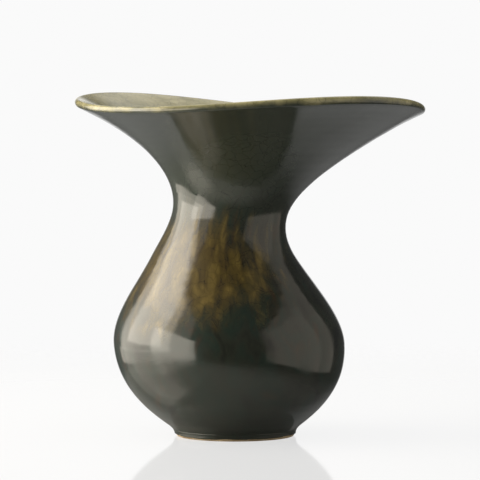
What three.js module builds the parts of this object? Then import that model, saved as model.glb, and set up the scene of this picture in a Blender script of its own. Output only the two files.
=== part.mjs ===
import * as THREE from 'three';

// Faience vase: a low foot, a round belly, a narrow neck that leans, and a wide trumpet mouth with a
// wavy lip. It is put together as a potter builds it: thrown sections, the slip that lutes them, and
// the glaze coats over the clay. All lengths are millimetres. The foot stands on the plane z = 0, the
// middle of the mouth is over the origin, and the front of the vase faces -Y.

// Heights above the table
const overallHeight = 240;
const footHeight = 5.5;
const floorBlendHeight = 18.5;
const bellyHeight = 65;
const waistHeight = 154;

// Outer radii of the clay
const footEdgeRadius = 41.1;
const footTopRadius = 42.4;
const bowlStartRadius = 43.2;
const bellyRadius = 80;
const waistRadius = 40;
// Widest radius of the glazed lip
const mouthRadius = 122;

// Walls and coats
const footRingWidth = 7.2;
const footChamfer = 0.8;
const floorThickness = 6.5;
const baseWall = 6.6;
const neckWall = 5.4;
const lipWall = 4.4;
const slipThickness = 0.8;
const glazeThickness = 0.6;
// Bare clay left below the edge of the outer glaze
const bareFootHeight = 1.5;

// How full the curves are: lengths of the handles along the outline's tangents
const bowlRise = THREE.MathUtils.degToRad(39);
const bowlStartHandle = 11;
const bellyHandleBelow = 35;
const bellyHandleAbove = 29;
const waistHandleBelow = 30;
const waistHandleAbove = 28.5;
const lipHandle = 32;
const flareRise = THREE.MathUtils.degToRad(25);

// How the axis wanders: the foot stands to the left, the body tilts, and the neck swings back to the right
const footOffset = -10;
const bodyTilt = -0.068;
const swingStartBelowWaist = 29.5;
const swingEndAboveWaist = 62;

// How the lip rises and falls round the mouth: one slow tilt and two crests, directions from +X
const lipTiltRise = 3.5;
const lipTiltToward = THREE.MathUtils.degToRad(205);
const lipWaveRise = 5.7;
const lipWaveCrest = THREE.MathUtils.degToRad(136);

// Steps round the vase, and along each stretch of its outline
const sides = 36;
const cornerSteps = 2;
const bowlSteps = 5;
const shoulderSteps = 6;
const flareSteps = 7;
const lipSteps = 4;
const floorSteps = 4;
const heightSearchSteps = 50;

const biscuitClay = new THREE.MeshStandardMaterial({ color: '#c4ad8a', roughness: 0.85, metalness: 0 });
const lutingSlip = new THREE.MeshStandardMaterial({ color: '#b59a76', roughness: 0.9, metalness: 0 });
const oliveBlackGlaze = new THREE.MeshStandardMaterial({ color: '#2a291f', roughness: 0.12, metalness: 0 });
const ochreLinerGlaze = new THREE.MeshStandardMaterial({ color: '#6d6444', roughness: 0.2, metalness: 0 });

const directions = Array.from({ length: sides }, (_, side) => (side / sides) * 2 * Math.PI);

// Rise of the lip above its mean height, in one direction
function lipRise(direction) {
  const tilt = lipTiltRise * Math.cos(direction - lipTiltToward);
  const wave = lipWaveRise * Math.cos(2 * (direction - lipWaveCrest));
  return tilt + wave;
}

// Lip: a half-round edge of the wall's own thickness, at the end of the flare
const lipRadius = lipWall / 2;
const meanLipHeight = overallHeight - Math.max(...directions.map(lipRise));
const lipCentre = new THREE.Vector2(
  mouthRadius - glazeThickness - lipRadius,
  meanLipHeight - glazeThickness - lipRadius,
);
const flareDirection = new THREE.Vector2(Math.cos(flareRise), Math.sin(flareRise));
const flareNormal = new THREE.Vector2(flareDirection.y, -flareDirection.x);
const lipStart = lipCentre.clone().addScaledVector(flareNormal, lipRadius);

// Outline of the clay as radius and height: three curves that meet upright at belly and waist
const bowlBottom = footHeight + slipThickness;
const bowlStart = new THREE.Vector2(bowlStartRadius, bowlBottom);
const belly = new THREE.Vector2(bellyRadius, bellyHeight);
const waist = new THREE.Vector2(waistRadius, waistHeight);
const bowlDirection = new THREE.Vector2(Math.cos(bowlRise), Math.sin(bowlRise));
const up = new THREE.Vector2(0, 1);

const bowlCurve = new THREE.CubicBezierCurve(
  bowlStart,
  bowlStart.clone().addScaledVector(bowlDirection, bowlStartHandle),
  belly.clone().addScaledVector(up, -bellyHandleBelow),
  belly,
);
const shoulderCurve = new THREE.CubicBezierCurve(
  belly,
  belly.clone().addScaledVector(up, bellyHandleAbove),
  waist.clone().addScaledVector(up, -waistHandleBelow),
  waist,
);
const flareCurve = new THREE.CubicBezierCurve(
  waist,
  waist.clone().addScaledVector(up, waistHandleAbove),
  lipStart.clone().addScaledVector(flareDirection, -lipHandle),
  lipStart,
);

// Finds where a rising curve reaches a height, by halving
function parameterAtHeight(curve, height) {
  let low = 0;
  let high = 1;
  for (let step = 0; step < heightSearchSteps; step += 1) {
    const middle = (low + high) / 2;
    if (curve.getPoint(middle).y < height) low = middle;
    else high = middle;
  }
  return (low + high) / 2;
}

// Wall thickness: even through the belly's lower half, then thinner to the neck, and on to the lip
function wallAt(height) {
  if (height < waistHeight) {
    return THREE.MathUtils.mapLinear(Math.max(height, bellyHeight), bellyHeight, waistHeight, baseWall, neckWall);
  }
  return THREE.MathUtils.mapLinear(height, waistHeight, lipStart.y, neckWall, lipWall);
}

// Points of the clay wall, outside and straight through it inside, between two heights of one curve
function wallBetween(curve, lowHeight, highHeight, steps) {
  const lowParameter = parameterAtHeight(curve, lowHeight);
  const highParameter = parameterAtHeight(curve, highHeight);
  return Array.from({ length: steps + 1 }, (_, step) => {
    const parameter = THREE.MathUtils.lerp(lowParameter, highParameter, step / steps);
    const outer = curve.getPoint(parameter);
    const tangent = curve.getTangent(parameter);
    const inward = new THREE.Vector2(-tangent.y, tangent.x);
    return { outer, inner: outer.clone().addScaledVector(inward, wallAt(outer.y)) };
  });
}

// The three thrown sections meet at slip joints at the belly and at the waist
const halfSlip = slipThickness / 2;
const cornerWall = wallBetween(bowlCurve, bowlBottom, floorBlendHeight, cornerSteps);
const bowlWall = wallBetween(bowlCurve, floorBlendHeight, bellyHeight - halfSlip, bowlSteps);
const shoulderWall = wallBetween(shoulderCurve, bellyHeight + halfSlip, waistHeight - halfSlip, shoulderSteps);
const flareWall = wallBetween(flareCurve, waistHeight + halfSlip, lipStart.y, flareSteps);

const outsideOf = (wall) => wall.map((station) => station.outer);
const insideOf = (wall) => wall.map((station) => station.inner).reverse();

const cornerOutside = outsideOf(cornerWall.slice(0, -1));
const bowlOutside = outsideOf(bowlWall);
const bowlInside = insideOf(bowlWall);
const shoulderOutside = outsideOf(shoulderWall);
const shoulderInside = insideOf(shoulderWall);
const flareOutside = outsideOf(flareWall);
const flareInside = insideOf(flareWall);

// Half-round lip between the flare's outside and inside, without its two end points
const lipRound = Array.from({ length: lipSteps - 1 }, (_, step) => {
  const turn = ((step + 1) / lipSteps) * Math.PI;
  return lipCentre
    .clone()
    .addScaledVector(flareNormal, lipRadius * Math.cos(turn))
    .addScaledVector(flareDirection, lipRadius * Math.sin(turn));
});

// Inside of the floor: from the foot of the inner wall, along its slope, level to the axis
const floorTop = bowlBottom + floorThickness;
const floorEdge = bowlInside.at(-1);
const floorEdgeSlope = new THREE.Vector2().subVectors(bowlInside.at(-2), floorEdge);
const floorBend = new THREE.Vector2(
  floorEdge.x - ((floorEdge.y - floorTop) * floorEdgeSlope.x) / floorEdgeSlope.y,
  floorTop,
);
const floorCurve = new THREE.QuadraticBezierCurve(floorEdge, floorBend, new THREE.Vector2(0, floorTop));
const floorInside = floorCurve.getPoints(floorSteps).slice(1);

// Foot ring: it stands on a flat edge, chamfered on both sides
const footBoreRadius = footTopRadius - footRingWidth;
const footGlazeLine = new THREE.Vector2(
  THREE.MathUtils.mapLinear(bareFootHeight, footChamfer, footHeight, footEdgeRadius, footTopRadius),
  bareFootHeight,
);
const footTop = new THREE.Vector2(footTopRadius, footHeight);
const footBoreTop = new THREE.Vector2(footBoreRadius, footHeight);
const bowlBoreEdge = new THREE.Vector2(footBoreRadius, bowlBottom);
const footStand = [
  new THREE.Vector2(footBoreRadius + footChamfer, 0),
  new THREE.Vector2(footEdgeRadius - footChamfer, 0),
  new THREE.Vector2(footEdgeRadius, footChamfer),
];

// Sideways shift of the axis at a height
function axisShift(height) {
  const leaning = footOffset + bodyTilt * height;
  const leaningAtMouth = footOffset + bodyTilt * meanLipHeight;
  const swing = THREE.MathUtils.smoothstep(
    height,
    waistHeight - swingStartBelowWaist,
    waistHeight + swingEndAboveWaist,
  );
  return leaning - leaningAtMouth * swing;
}

// Puts a profile point in space: on its shifted axis, with the lip's wave growing from waist to lip
function placed(point, direction) {
  const flareShare = Math.max(0, (point.y - waistHeight) / (meanLipHeight - waistHeight));
  return new THREE.Vector3(
    axisShift(point.y) + point.x * Math.cos(direction),
    point.x * Math.sin(direction),
    point.y + lipRise(direction) * flareShare * flareShare,
  );
}

// Turns a profile into a closed solid. It runs outside upwards and inside downwards, and either closes
// on itself or starts and ends on the axis. Each four-cornered facet is split from its lower ring to
// its higher ring, so that two solids that share a surface share its triangles too.
function turnedSolid(profile) {
  const positions = [];
  const addTriangle = (...corners) => corners.forEach((corner) => positions.push(corner.x, corner.y, corner.z));
  const closesOnAxis = profile[0].x === 0;
  const stretches = closesOnAxis ? profile.length - 1 : profile.length;
  for (let index = 0; index < stretches; index += 1) {
    const from = profile[index];
    const to = profile[(index + 1) % profile.length];
    const fromIsLower = from.y === to.y ? from.x < to.x : from.y < to.y;
    directions.forEach((direction, side) => {
      const nextDirection = directions[(side + 1) % sides];
      const fromHere = placed(from, direction);
      const fromNext = placed(from, nextDirection);
      const toHere = placed(to, direction);
      const toNext = placed(to, nextDirection);
      if (from.x === 0) {
        addTriangle(fromHere, toNext, toHere);
      } else if (to.x === 0) {
        addTriangle(fromHere, fromNext, toHere);
      } else if (fromIsLower) {
        addTriangle(fromHere, fromNext, toNext);
        addTriangle(fromHere, toNext, toHere);
      } else {
        addTriangle(fromHere, fromNext, toHere);
        addTriangle(fromNext, toNext, toHere);
      }
    });
  }
  const geometry = new THREE.BufferGeometry();
  geometry.setAttribute('position', new THREE.Float32BufferAttribute(positions, 3));
  geometry.computeVertexNormals();
  return geometry;
}

// Moves a path sideways, to its right, by a distance: the outside face of a coat on it
function coatOver(path, distance) {
  return path.map((point, index) => {
    if (point.x === 0) return new THREE.Vector2(0, point.y + distance);
    const before = path[Math.max(index - 1, 0)];
    const after = path[Math.min(index + 1, path.length - 1)];
    const along = new THREE.Vector2().subVectors(after, before).normalize();
    return new THREE.Vector2(point.x + along.y * distance, point.y - along.x * distance);
  });
}

// The whole glazed surface of the clay, from the foot up over the lip and down to the middle of the floor
const glazedOutside = [
  footGlazeLine,
  footTop,
  ...cornerOutside,
  ...bowlOutside,
  ...shoulderOutside,
  ...flareOutside,
  ...lipRound,
  flareInside[0],
];
const glazedInside = [...flareInside, ...shoulderInside, ...bowlInside, ...floorInside];
const glazedSurface = [...glazedOutside, ...glazedInside.slice(1)];
const coatSurface = coatOver(glazedSurface, glazeThickness);
const coatSplit = glazedOutside.length - 1;

const vase = new THREE.Group();

function addPart(name, profile, material) {
  const mesh = new THREE.Mesh(turnedSolid(profile), material.clone());
  mesh.name = name;
  vase.add(mesh);
}

addPart('foot_ring', [...footStand, footGlazeLine, footTop, footBoreTop,
  new THREE.Vector2(footBoreRadius, footChamfer)], biscuitClay);

addPart('foot_slip_joint', [footBoreTop, footTop, bowlStart, bowlBoreEdge], lutingSlip);

addPart('base_bowl', [new THREE.Vector2(0, bowlBottom), bowlBoreEdge, ...cornerOutside, ...bowlOutside,
  ...bowlInside, ...floorInside], biscuitClay);

addPart('belly_slip_joint', [bowlOutside.at(-1), shoulderOutside[0], shoulderInside.at(-1),
  bowlInside[0]], lutingSlip);

addPart('shoulder_section', [...shoulderOutside, ...shoulderInside], biscuitClay);

addPart('neck_slip_joint', [shoulderOutside.at(-1), flareOutside[0], flareInside.at(-1),
  shoulderInside[0]], lutingSlip);

addPart('flared_mouth', [...flareOutside, ...lipRound, ...flareInside], biscuitClay);

addPart('outer_glaze', [...coatSurface.slice(0, coatSplit + 1), ...glazedOutside.toReversed()],
  oliveBlackGlaze);

addPart('liner_glaze', [...glazedInside.toReversed(), ...coatSurface.slice(coatSplit)],
  ochreLinerGlaze);

export default vase;
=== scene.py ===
"""A faience vase: low foot, round belly, leaning neck and a wide trumpet mouth with a wavy lip.

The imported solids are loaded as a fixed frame. Finely turned pieces then take their places: the foot
ring, the thrown clay sections, the slip that lutes them and the two glaze coats. Sizes are millimetres
in the dataclasses and metres in the meshes. The front of the vase faces -Y and its foot is on z = 0.
"""

from __future__ import annotations

import logging
import math
from dataclasses import dataclass
from enum import Enum
from functools import cached_property
from typing import Callable, NamedTuple

import bpy
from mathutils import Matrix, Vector

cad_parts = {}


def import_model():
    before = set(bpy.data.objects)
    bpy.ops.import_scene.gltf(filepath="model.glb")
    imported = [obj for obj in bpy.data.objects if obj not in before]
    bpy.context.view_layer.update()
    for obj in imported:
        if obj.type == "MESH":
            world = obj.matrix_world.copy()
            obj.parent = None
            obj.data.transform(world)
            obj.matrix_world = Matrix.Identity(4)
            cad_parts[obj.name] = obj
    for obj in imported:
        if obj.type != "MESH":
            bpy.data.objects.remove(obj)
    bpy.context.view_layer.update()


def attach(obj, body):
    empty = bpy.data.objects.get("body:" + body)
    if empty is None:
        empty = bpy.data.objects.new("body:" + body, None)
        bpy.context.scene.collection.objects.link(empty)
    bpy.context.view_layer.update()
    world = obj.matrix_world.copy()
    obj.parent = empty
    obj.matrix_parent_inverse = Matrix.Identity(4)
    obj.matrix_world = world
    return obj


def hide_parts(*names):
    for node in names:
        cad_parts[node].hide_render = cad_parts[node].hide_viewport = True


log = logging.getLogger("vase")

MM = 0.001
NEUTRAL = (1.0, 1.0, 1.0, 1.0)
# Sockets of the Mix node by number, as it mixes colours and as it mixes plain values
MIX_FACTOR = 0
MIX_LOW = 6
MIX_HIGH = 7
MIX_RESULT = 2
VALUE_LOW = 2
VALUE_HIGH = 3
VALUE_RESULT = 0
# Radians that a Wave texture turns in one unit at a scale of 1
WAVE_TURN = 20


def linear(hex_colour: str) -> tuple[float, float, float, float]:
    """Turns an sRGB colour into the linear one that a shader takes.

    Args:
        hex_colour: colour as "#rrggbb".

    Returns:
        Linear red, green, blue and an alpha of 1.
    """
    channels = [int(hex_colour[start : start + 2], 16) / 255 for start in (1, 3, 5)]
    levels = [c / 12.92 if c <= 0.04045 else ((c + 0.055) / 1.055) ** 2.4 for c in channels]
    return (levels[0], levels[1], levels[2], 1.0)


def per_metre(size_mm: float) -> float:
    """Scale at which a noise or Voronoi texture on metres has features of this size."""
    return 1 / (size_mm * MM)


def waves_per_metre(spacing_mm: float) -> float:
    """Scale at which a Wave texture on metres repeats at this spacing."""
    return 2 * math.pi / (WAVE_TURN * spacing_mm * MM)


def add_node(
    tree: bpy.types.NodeTree,
    kind: str,
    inputs: dict[str | int, object] | None = None,
    stops: list[tuple[float, str]] | None = None,
    **settings: object,
) -> bpy.types.Node:
    """Adds one node with its settings, colour stops and links.

    Args:
        tree: node tree that takes the node.
        kind: type of the node.
        inputs: for each socket, by name or number, its constant or the output that feeds it.
        stops: places and sRGB colours along a colour ramp, in rising order.
        settings: properties of the node.

    Returns:
        The new node.
    """
    node = tree.nodes.new(kind)
    for name, value in settings.items():
        setattr(node, name, value)
    if stops:
        elements = node.color_ramp.elements
        elements.remove(elements[1])
        elements[0].position = stops[0][0]
        for place, _ in stops[1:]:
            elements.new(place)
        for element, (_, colour) in zip(elements, stops):
            element.color = linear(colour)
    for socket, value in (inputs or {}).items():
        if isinstance(value, bpy.types.NodeSocket):
            tree.links.new(value, node.inputs[socket])
        else:
            node.inputs[socket].default_value = value
    return node


def start_material(name: str) -> tuple[bpy.types.Material, bpy.types.NodeTree, bpy.types.Node]:
    """Starts the material of one finish.

    Args:
        name: the real material and how it was made.

    Returns:
        The material, its nodes and its main shader.
    """
    made = bpy.data.materials.new(name)
    made.use_nodes = True
    return made, made.node_tree, made.node_tree.nodes["Principled BSDF"]


class Part(Enum):
    """The pieces of the vase, named as their solids are."""

    FOOT_RING = "foot_ring"
    FOOT_SLIP = "foot_slip_joint"
    BASE = "base_bowl"
    BELLY_SLIP = "belly_slip_joint"
    SHOULDER = "shoulder_section"
    NECK_SLIP = "neck_slip_joint"
    MOUTH = "flared_mouth"
    OUTER_GLAZE = "outer_glaze"
    LINER_GLAZE = "liner_glaze"


class Station(NamedTuple):
    """A point of an outline: radius, height and distance along the glazed surface, in millimetres."""

    radius: float
    height: float
    along: float = 0.0


@dataclass(frozen=True)
class Curve:
    """One stretch of the clay's outline: a cubic curve through radius and height."""

    start: Vector
    start_handle: Vector
    end_handle: Vector
    end: Vector
    # Halvings that find a height to far less than a micron
    halvings: int = 50

    def point(self, share: float) -> Vector:
        """Point at a share of the curve, from 0 to 1."""
        rest = 1 - share
        return (
            self.start * rest**3
            + self.start_handle * (3 * rest**2 * share)
            + self.end_handle * (3 * rest * share**2)
            + self.end * share**3
        )

    def tangent(self, share: float) -> Vector:
        """Unit direction of the curve at a share of it."""
        rest = 1 - share
        slope = (
            (self.start_handle - self.start) * (rest**2)
            + (self.end_handle - self.start_handle) * (2 * rest * share)
            + (self.end - self.end_handle) * share**2
        )
        return slope.normalized()

    def share_at(self, height: float) -> float:
        """Share at which the rising curve reaches a height, found by halving."""
        low, high = 0.0, 1.0
        for _ in range(self.halvings):
            middle = (low + high) / 2
            if self.point(middle).y < height:
                low = middle
            else:
                high = middle
        return (low + high) / 2


@dataclass(frozen=True)
class VaseForm:
    """Shape that all pieces share, in millimetres, the same as that of the solids."""

    overall_height: float = 240.0
    foot_height: float = 5.5
    floor_blend_height: float = 18.5
    belly_height: float = 65.0
    waist_height: float = 154.0
    foot_edge_radius: float = 41.1
    foot_top_radius: float = 42.4
    bowl_start_radius: float = 43.2
    belly_radius: float = 80.0
    waist_radius: float = 40.0
    mouth_radius: float = 122.0
    foot_ring_width: float = 7.2
    foot_chamfer: float = 0.8
    floor_thickness: float = 6.5
    base_wall: float = 6.6
    neck_wall: float = 5.4
    lip_wall: float = 4.4
    slip_thickness: float = 0.8
    glaze_thickness: float = 0.6
    bare_foot_height: float = 1.5
    bowl_rise: float = math.radians(39)
    bowl_start_handle: float = 11.0
    belly_handle_below: float = 35.0
    belly_handle_above: float = 29.0
    waist_handle_below: float = 30.0
    waist_handle_above: float = 28.5
    lip_handle: float = 32.0
    flare_rise: float = math.radians(25)
    foot_offset: float = -10.0
    body_tilt: float = -0.068
    swing_start_below_waist: float = 29.5
    swing_end_above_waist: float = 62.0
    lip_tilt_rise: float = 3.5
    lip_tilt_toward: float = math.radians(205)
    lip_wave_rise: float = 5.7
    lip_wave_crest: float = math.radians(136)
    solid_sides: int = 36

    def lip_rise(self, direction: float) -> float:
        """Rise of the lip above its mean height, in one direction round the mouth."""
        tilt = self.lip_tilt_rise * math.cos(direction - self.lip_tilt_toward)
        return tilt + self.lip_wave_rise * math.cos(2 * (direction - self.lip_wave_crest))

    @cached_property
    def mean_lip_height(self) -> float:
        """Height that leaves the lip's highest crest at the overall height."""
        turn = 2 * math.pi / self.solid_sides
        return self.overall_height - max(self.lip_rise(turn * side) for side in range(self.solid_sides))

    @cached_property
    def flare_direction(self) -> Vector:
        """Direction in which the mouth's wall runs out to the lip."""
        return Vector((math.cos(self.flare_rise), math.sin(self.flare_rise)))

    @cached_property
    def lip_centre(self) -> Vector:
        """Centre of the half-round lip."""
        inset = self.glaze_thickness + self.lip_wall / 2
        return Vector((self.mouth_radius - inset, self.mean_lip_height - inset))

    @cached_property
    def lip_start(self) -> Vector:
        """Where the outside of the flare ends and the half-round lip begins."""
        outward = Vector((self.flare_direction.y, -self.flare_direction.x))
        return self.lip_centre + outward * (self.lip_wall / 2)

    @cached_property
    def bowl_bottom(self) -> float:
        """Height of the base's underside, on the slip over the foot ring."""
        return self.foot_height + self.slip_thickness

    @cached_property
    def foot_bore_radius(self) -> float:
        """Inner radius of the foot ring."""
        return self.foot_top_radius - self.foot_ring_width

    @cached_property
    def foot_slope(self) -> float:
        """How far the foot's side leans out for each millimetre that it rises."""
        return (self.foot_top_radius - self.foot_edge_radius) / (self.foot_height - self.foot_chamfer)

    @cached_property
    def bowl_curve(self) -> Curve:
        """Outside of the clay from the foot up to the belly."""
        start = Vector((self.bowl_start_radius, self.bowl_bottom))
        belly = Vector((self.belly_radius, self.belly_height))
        rise = Vector((math.cos(self.bowl_rise), math.sin(self.bowl_rise)))
        return Curve(
            start,
            start + rise * self.bowl_start_handle,
            belly - Vector((0, self.belly_handle_below)),
            belly,
        )

    @cached_property
    def shoulder_curve(self) -> Curve:
        """Outside of the clay from the belly up to the waist."""
        belly = Vector((self.belly_radius, self.belly_height))
        waist = Vector((self.waist_radius, self.waist_height))
        return Curve(
            belly,
            belly + Vector((0, self.belly_handle_above)),
            waist - Vector((0, self.waist_handle_below)),
            waist,
        )

    @cached_property
    def flare_curve(self) -> Curve:
        """Outside of the clay from the waist out to the lip."""
        waist = Vector((self.waist_radius, self.waist_height))
        return Curve(
            waist,
            waist + Vector((0, self.waist_handle_above)),
            self.lip_start - self.flare_direction * self.lip_handle,
            self.lip_start,
        )

    def wall_at(self, height: float) -> float:
        """Thickness of the clay wall at a height of its outside.

        Args:
            height: height on the outside, in millimetres.

        Returns:
            Wall thickness, even through the base, thinner to the neck and on to the lip.
        """
        if height < self.waist_height:
            above_belly = max(height - self.belly_height, 0.0)
            share = above_belly / (self.waist_height - self.belly_height)
            return self.base_wall + (self.neck_wall - self.base_wall) * share
        share = (height - self.waist_height) / (self.lip_start.y - self.waist_height)
        return self.neck_wall + (self.lip_wall - self.neck_wall) * share

    def wall_between(
        self, curve: Curve, low: float, high: float, steps: int
    ) -> tuple[list[Vector], list[Vector]]:
        """Points of the wall between two heights of one curve.

        Args:
            curve: stretch of the outline.
            low: lower height on its outside.
            high: upper height on its outside.
            steps: number of equal shares to cut it in.

        Returns:
            Points outside, upwards, and the points straight through the wall inside, upwards.
        """
        first, last = curve.share_at(low), curve.share_at(high)
        shares = [first + (last - first) * step / steps for step in range(steps + 1)]
        outside = [curve.point(share) for share in shares]
        inside = []
        for share, outer in zip(shares, outside):
            tangent = curve.tangent(share)
            inside.append(outer + Vector((-tangent.y, tangent.x)) * self.wall_at(outer.y))
        return outside, inside

    def axis_shift(self, height: float) -> float:
        """Sideways shift of the vase's axis at a height, in millimetres."""
        leaning = self.foot_offset + self.body_tilt * height
        at_mouth = self.foot_offset + self.body_tilt * self.mean_lip_height
        start = self.waist_height - self.swing_start_below_waist
        end = self.waist_height + self.swing_end_above_waist
        share = min(max((height - start) / (end - start), 0.0), 1.0)
        return leaning - at_mouth * share * share * (3 - 2 * share)

    def placed(self, radius: float, height: float, direction: float) -> Vector:
        """Puts a point of an outline on the leaning axis, with the lip's wave growing above the waist.

        Args:
            radius: distance from the axis, in millimetres.
            height: height in the outline, in millimetres.
            direction: direction round the axis, in radians from +X.

        Returns:
            The point in space, in metres.
        """
        share = max(0.0, (height - self.waist_height) / (self.mean_lip_height - self.waist_height))
        return MM * Vector(
            (
                self.axis_shift(height) + radius * math.cos(direction),
                radius * math.sin(direction),
                height + self.lip_rise(direction) * share * share,
            )
        )


@dataclass(frozen=True)
class Wheel:
    """A potter's wheel: it spins an outline round the axis, then leans it as the vase leans."""

    form: VaseForm
    # Radius at which the pattern round the wall has its true width
    pattern_radius: float = 70.0
    # Points closer than this are one
    weld: float = 0.01

    def drawn(self, name: str, outline: list[Station]) -> bpy.types.Object:
        """Draws an outline beside the axis as a chain of points.

        Args:
            name: name of the new object.
            outline: stations in order, in millimetres.

        Returns:
            The object, whose mesh has one edge for each step, in the plane y = 0.
        """
        bpy.ops.object.select_all(action="DESELECT")
        bpy.ops.mesh.primitive_plane_add(size=MM)
        piece = bpy.context.object
        piece.name = name
        piece.data.name = name
        bpy.ops.object.mode_set(mode="EDIT")
        bpy.ops.mesh.select_all(action="SELECT")
        bpy.ops.mesh.merge(type="CENTER")
        first = outline[0]
        bpy.ops.transform.translate(value=(first.radius * MM, 0, first.height * MM))
        for before, after in zip(outline, outline[1:]):
            step = ((after.radius - before.radius) * MM, 0, (after.height - before.height) * MM)
            bpy.ops.mesh.extrude_region_move(TRANSFORM_OT_translate={"value": step})
        bpy.ops.object.mode_set(mode="OBJECT")
        return piece

    def turned(
        self,
        name: str,
        outline: list[Station],
        segments: int,
        settle: Callable[[float, float, float], tuple[float, float]] | None = None,
    ) -> bpy.types.Object:
        """Spins an outline once round and leans it.

        Args:
            name: name of the new object.
            outline: closed outline, or one that starts and ends on the axis, in millimetres.
            segments: steps round the axis.
            settle: moves a radius and height in one direction, as a run of glaze does.

        Returns:
            A closed mesh object at the origin, with its distances along the wall kept as an attribute.
        """
        closed = outline if outline[0].radius == 0 else [*outline, outline[0]]
        piece = self.drawn(name, closed)
        mesh = piece.data
        along = mesh.attributes.new("along", "FLOAT", "POINT")
        # Each extruded point is put exactly on its station and takes over the station's distance
        for vertex in mesh.vertices:
            spot = Vector((vertex.co.x, vertex.co.z)) / MM
            nearest = min(outline, key=lambda s: (s.radius - spot.x) ** 2 + (s.height - spot.y) ** 2)
            vertex.co = (nearest.radius * MM, 0, nearest.height * MM)
            along.data[vertex.index].value = nearest.along
        bpy.ops.object.mode_set(mode="EDIT")
        bpy.ops.mesh.select_all(action="SELECT")
        bpy.ops.mesh.spin(steps=segments, angle=2 * math.pi, center=(0, 0, 0), axis=(0, 0, 1))
        bpy.ops.mesh.select_all(action="SELECT")
        bpy.ops.mesh.remove_doubles(threshold=self.weld * MM)
        bpy.ops.mesh.normals_make_consistent(inside=False)
        bpy.ops.object.mode_set(mode="OBJECT")
        self.lean(mesh, settle)
        return piece

    def lean(
        self, mesh: bpy.types.Mesh, settle: Callable[[float, float, float], tuple[float, float]] | None
    ) -> None:
        """Leans a spun mesh, waves its lip and writes where each point lies on the wall.

        No operator gives a wave that grows with height round a curved axis, so the points move in code.

        Args:
            mesh: spun mesh, still round the upright axis.
            settle: moves a radius and height in one direction, or None.
        """
        wall = mesh.attributes.new("wall", "FLOAT_VECTOR", "POINT")
        along = mesh.attributes["along"]
        for vertex in mesh.vertices:
            direction = math.atan2(vertex.co.y, vertex.co.x)
            radius = math.hypot(vertex.co.x, vertex.co.y) / MM
            height = vertex.co.z / MM
            if settle:
                radius, height = settle(radius, height, direction)
            distance = along.data[vertex.index].value
            wall.data[vertex.index].vector = MM * Vector(
                (
                    self.pattern_radius * math.cos(direction),
                    self.pattern_radius * math.sin(direction),
                    distance,
                )
            )
            vertex.co = self.form.placed(radius, height, direction)
        mesh.attributes.remove(mesh.attributes["along"])
        mesh.update()


def smoothed(piece: bpy.types.Object, crease: float) -> None:
    """Shades a piece smooth, but for edges that turn by more than an angle in radians."""
    bpy.ops.object.select_all(action="DESELECT")
    piece.select_set(True)
    bpy.context.view_layer.objects.active = piece
    bpy.ops.object.shade_smooth_by_angle(angle=crease)


def fitted(piece: bpy.types.Object, part: Part, material: bpy.types.Material) -> None:
    """Dresses a piece and puts it in its solid's place.

    Args:
        piece: finished mesh object.
        part: solid that it stands for.
        material: finish of the whole piece.
    """
    piece.data.materials.clear()
    piece.data.materials.append(material)
    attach(piece, "root")
    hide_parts(part.value)
    log.info("%s: %d points, %s", piece.name, len(piece.data.vertices), material.name)


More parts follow.
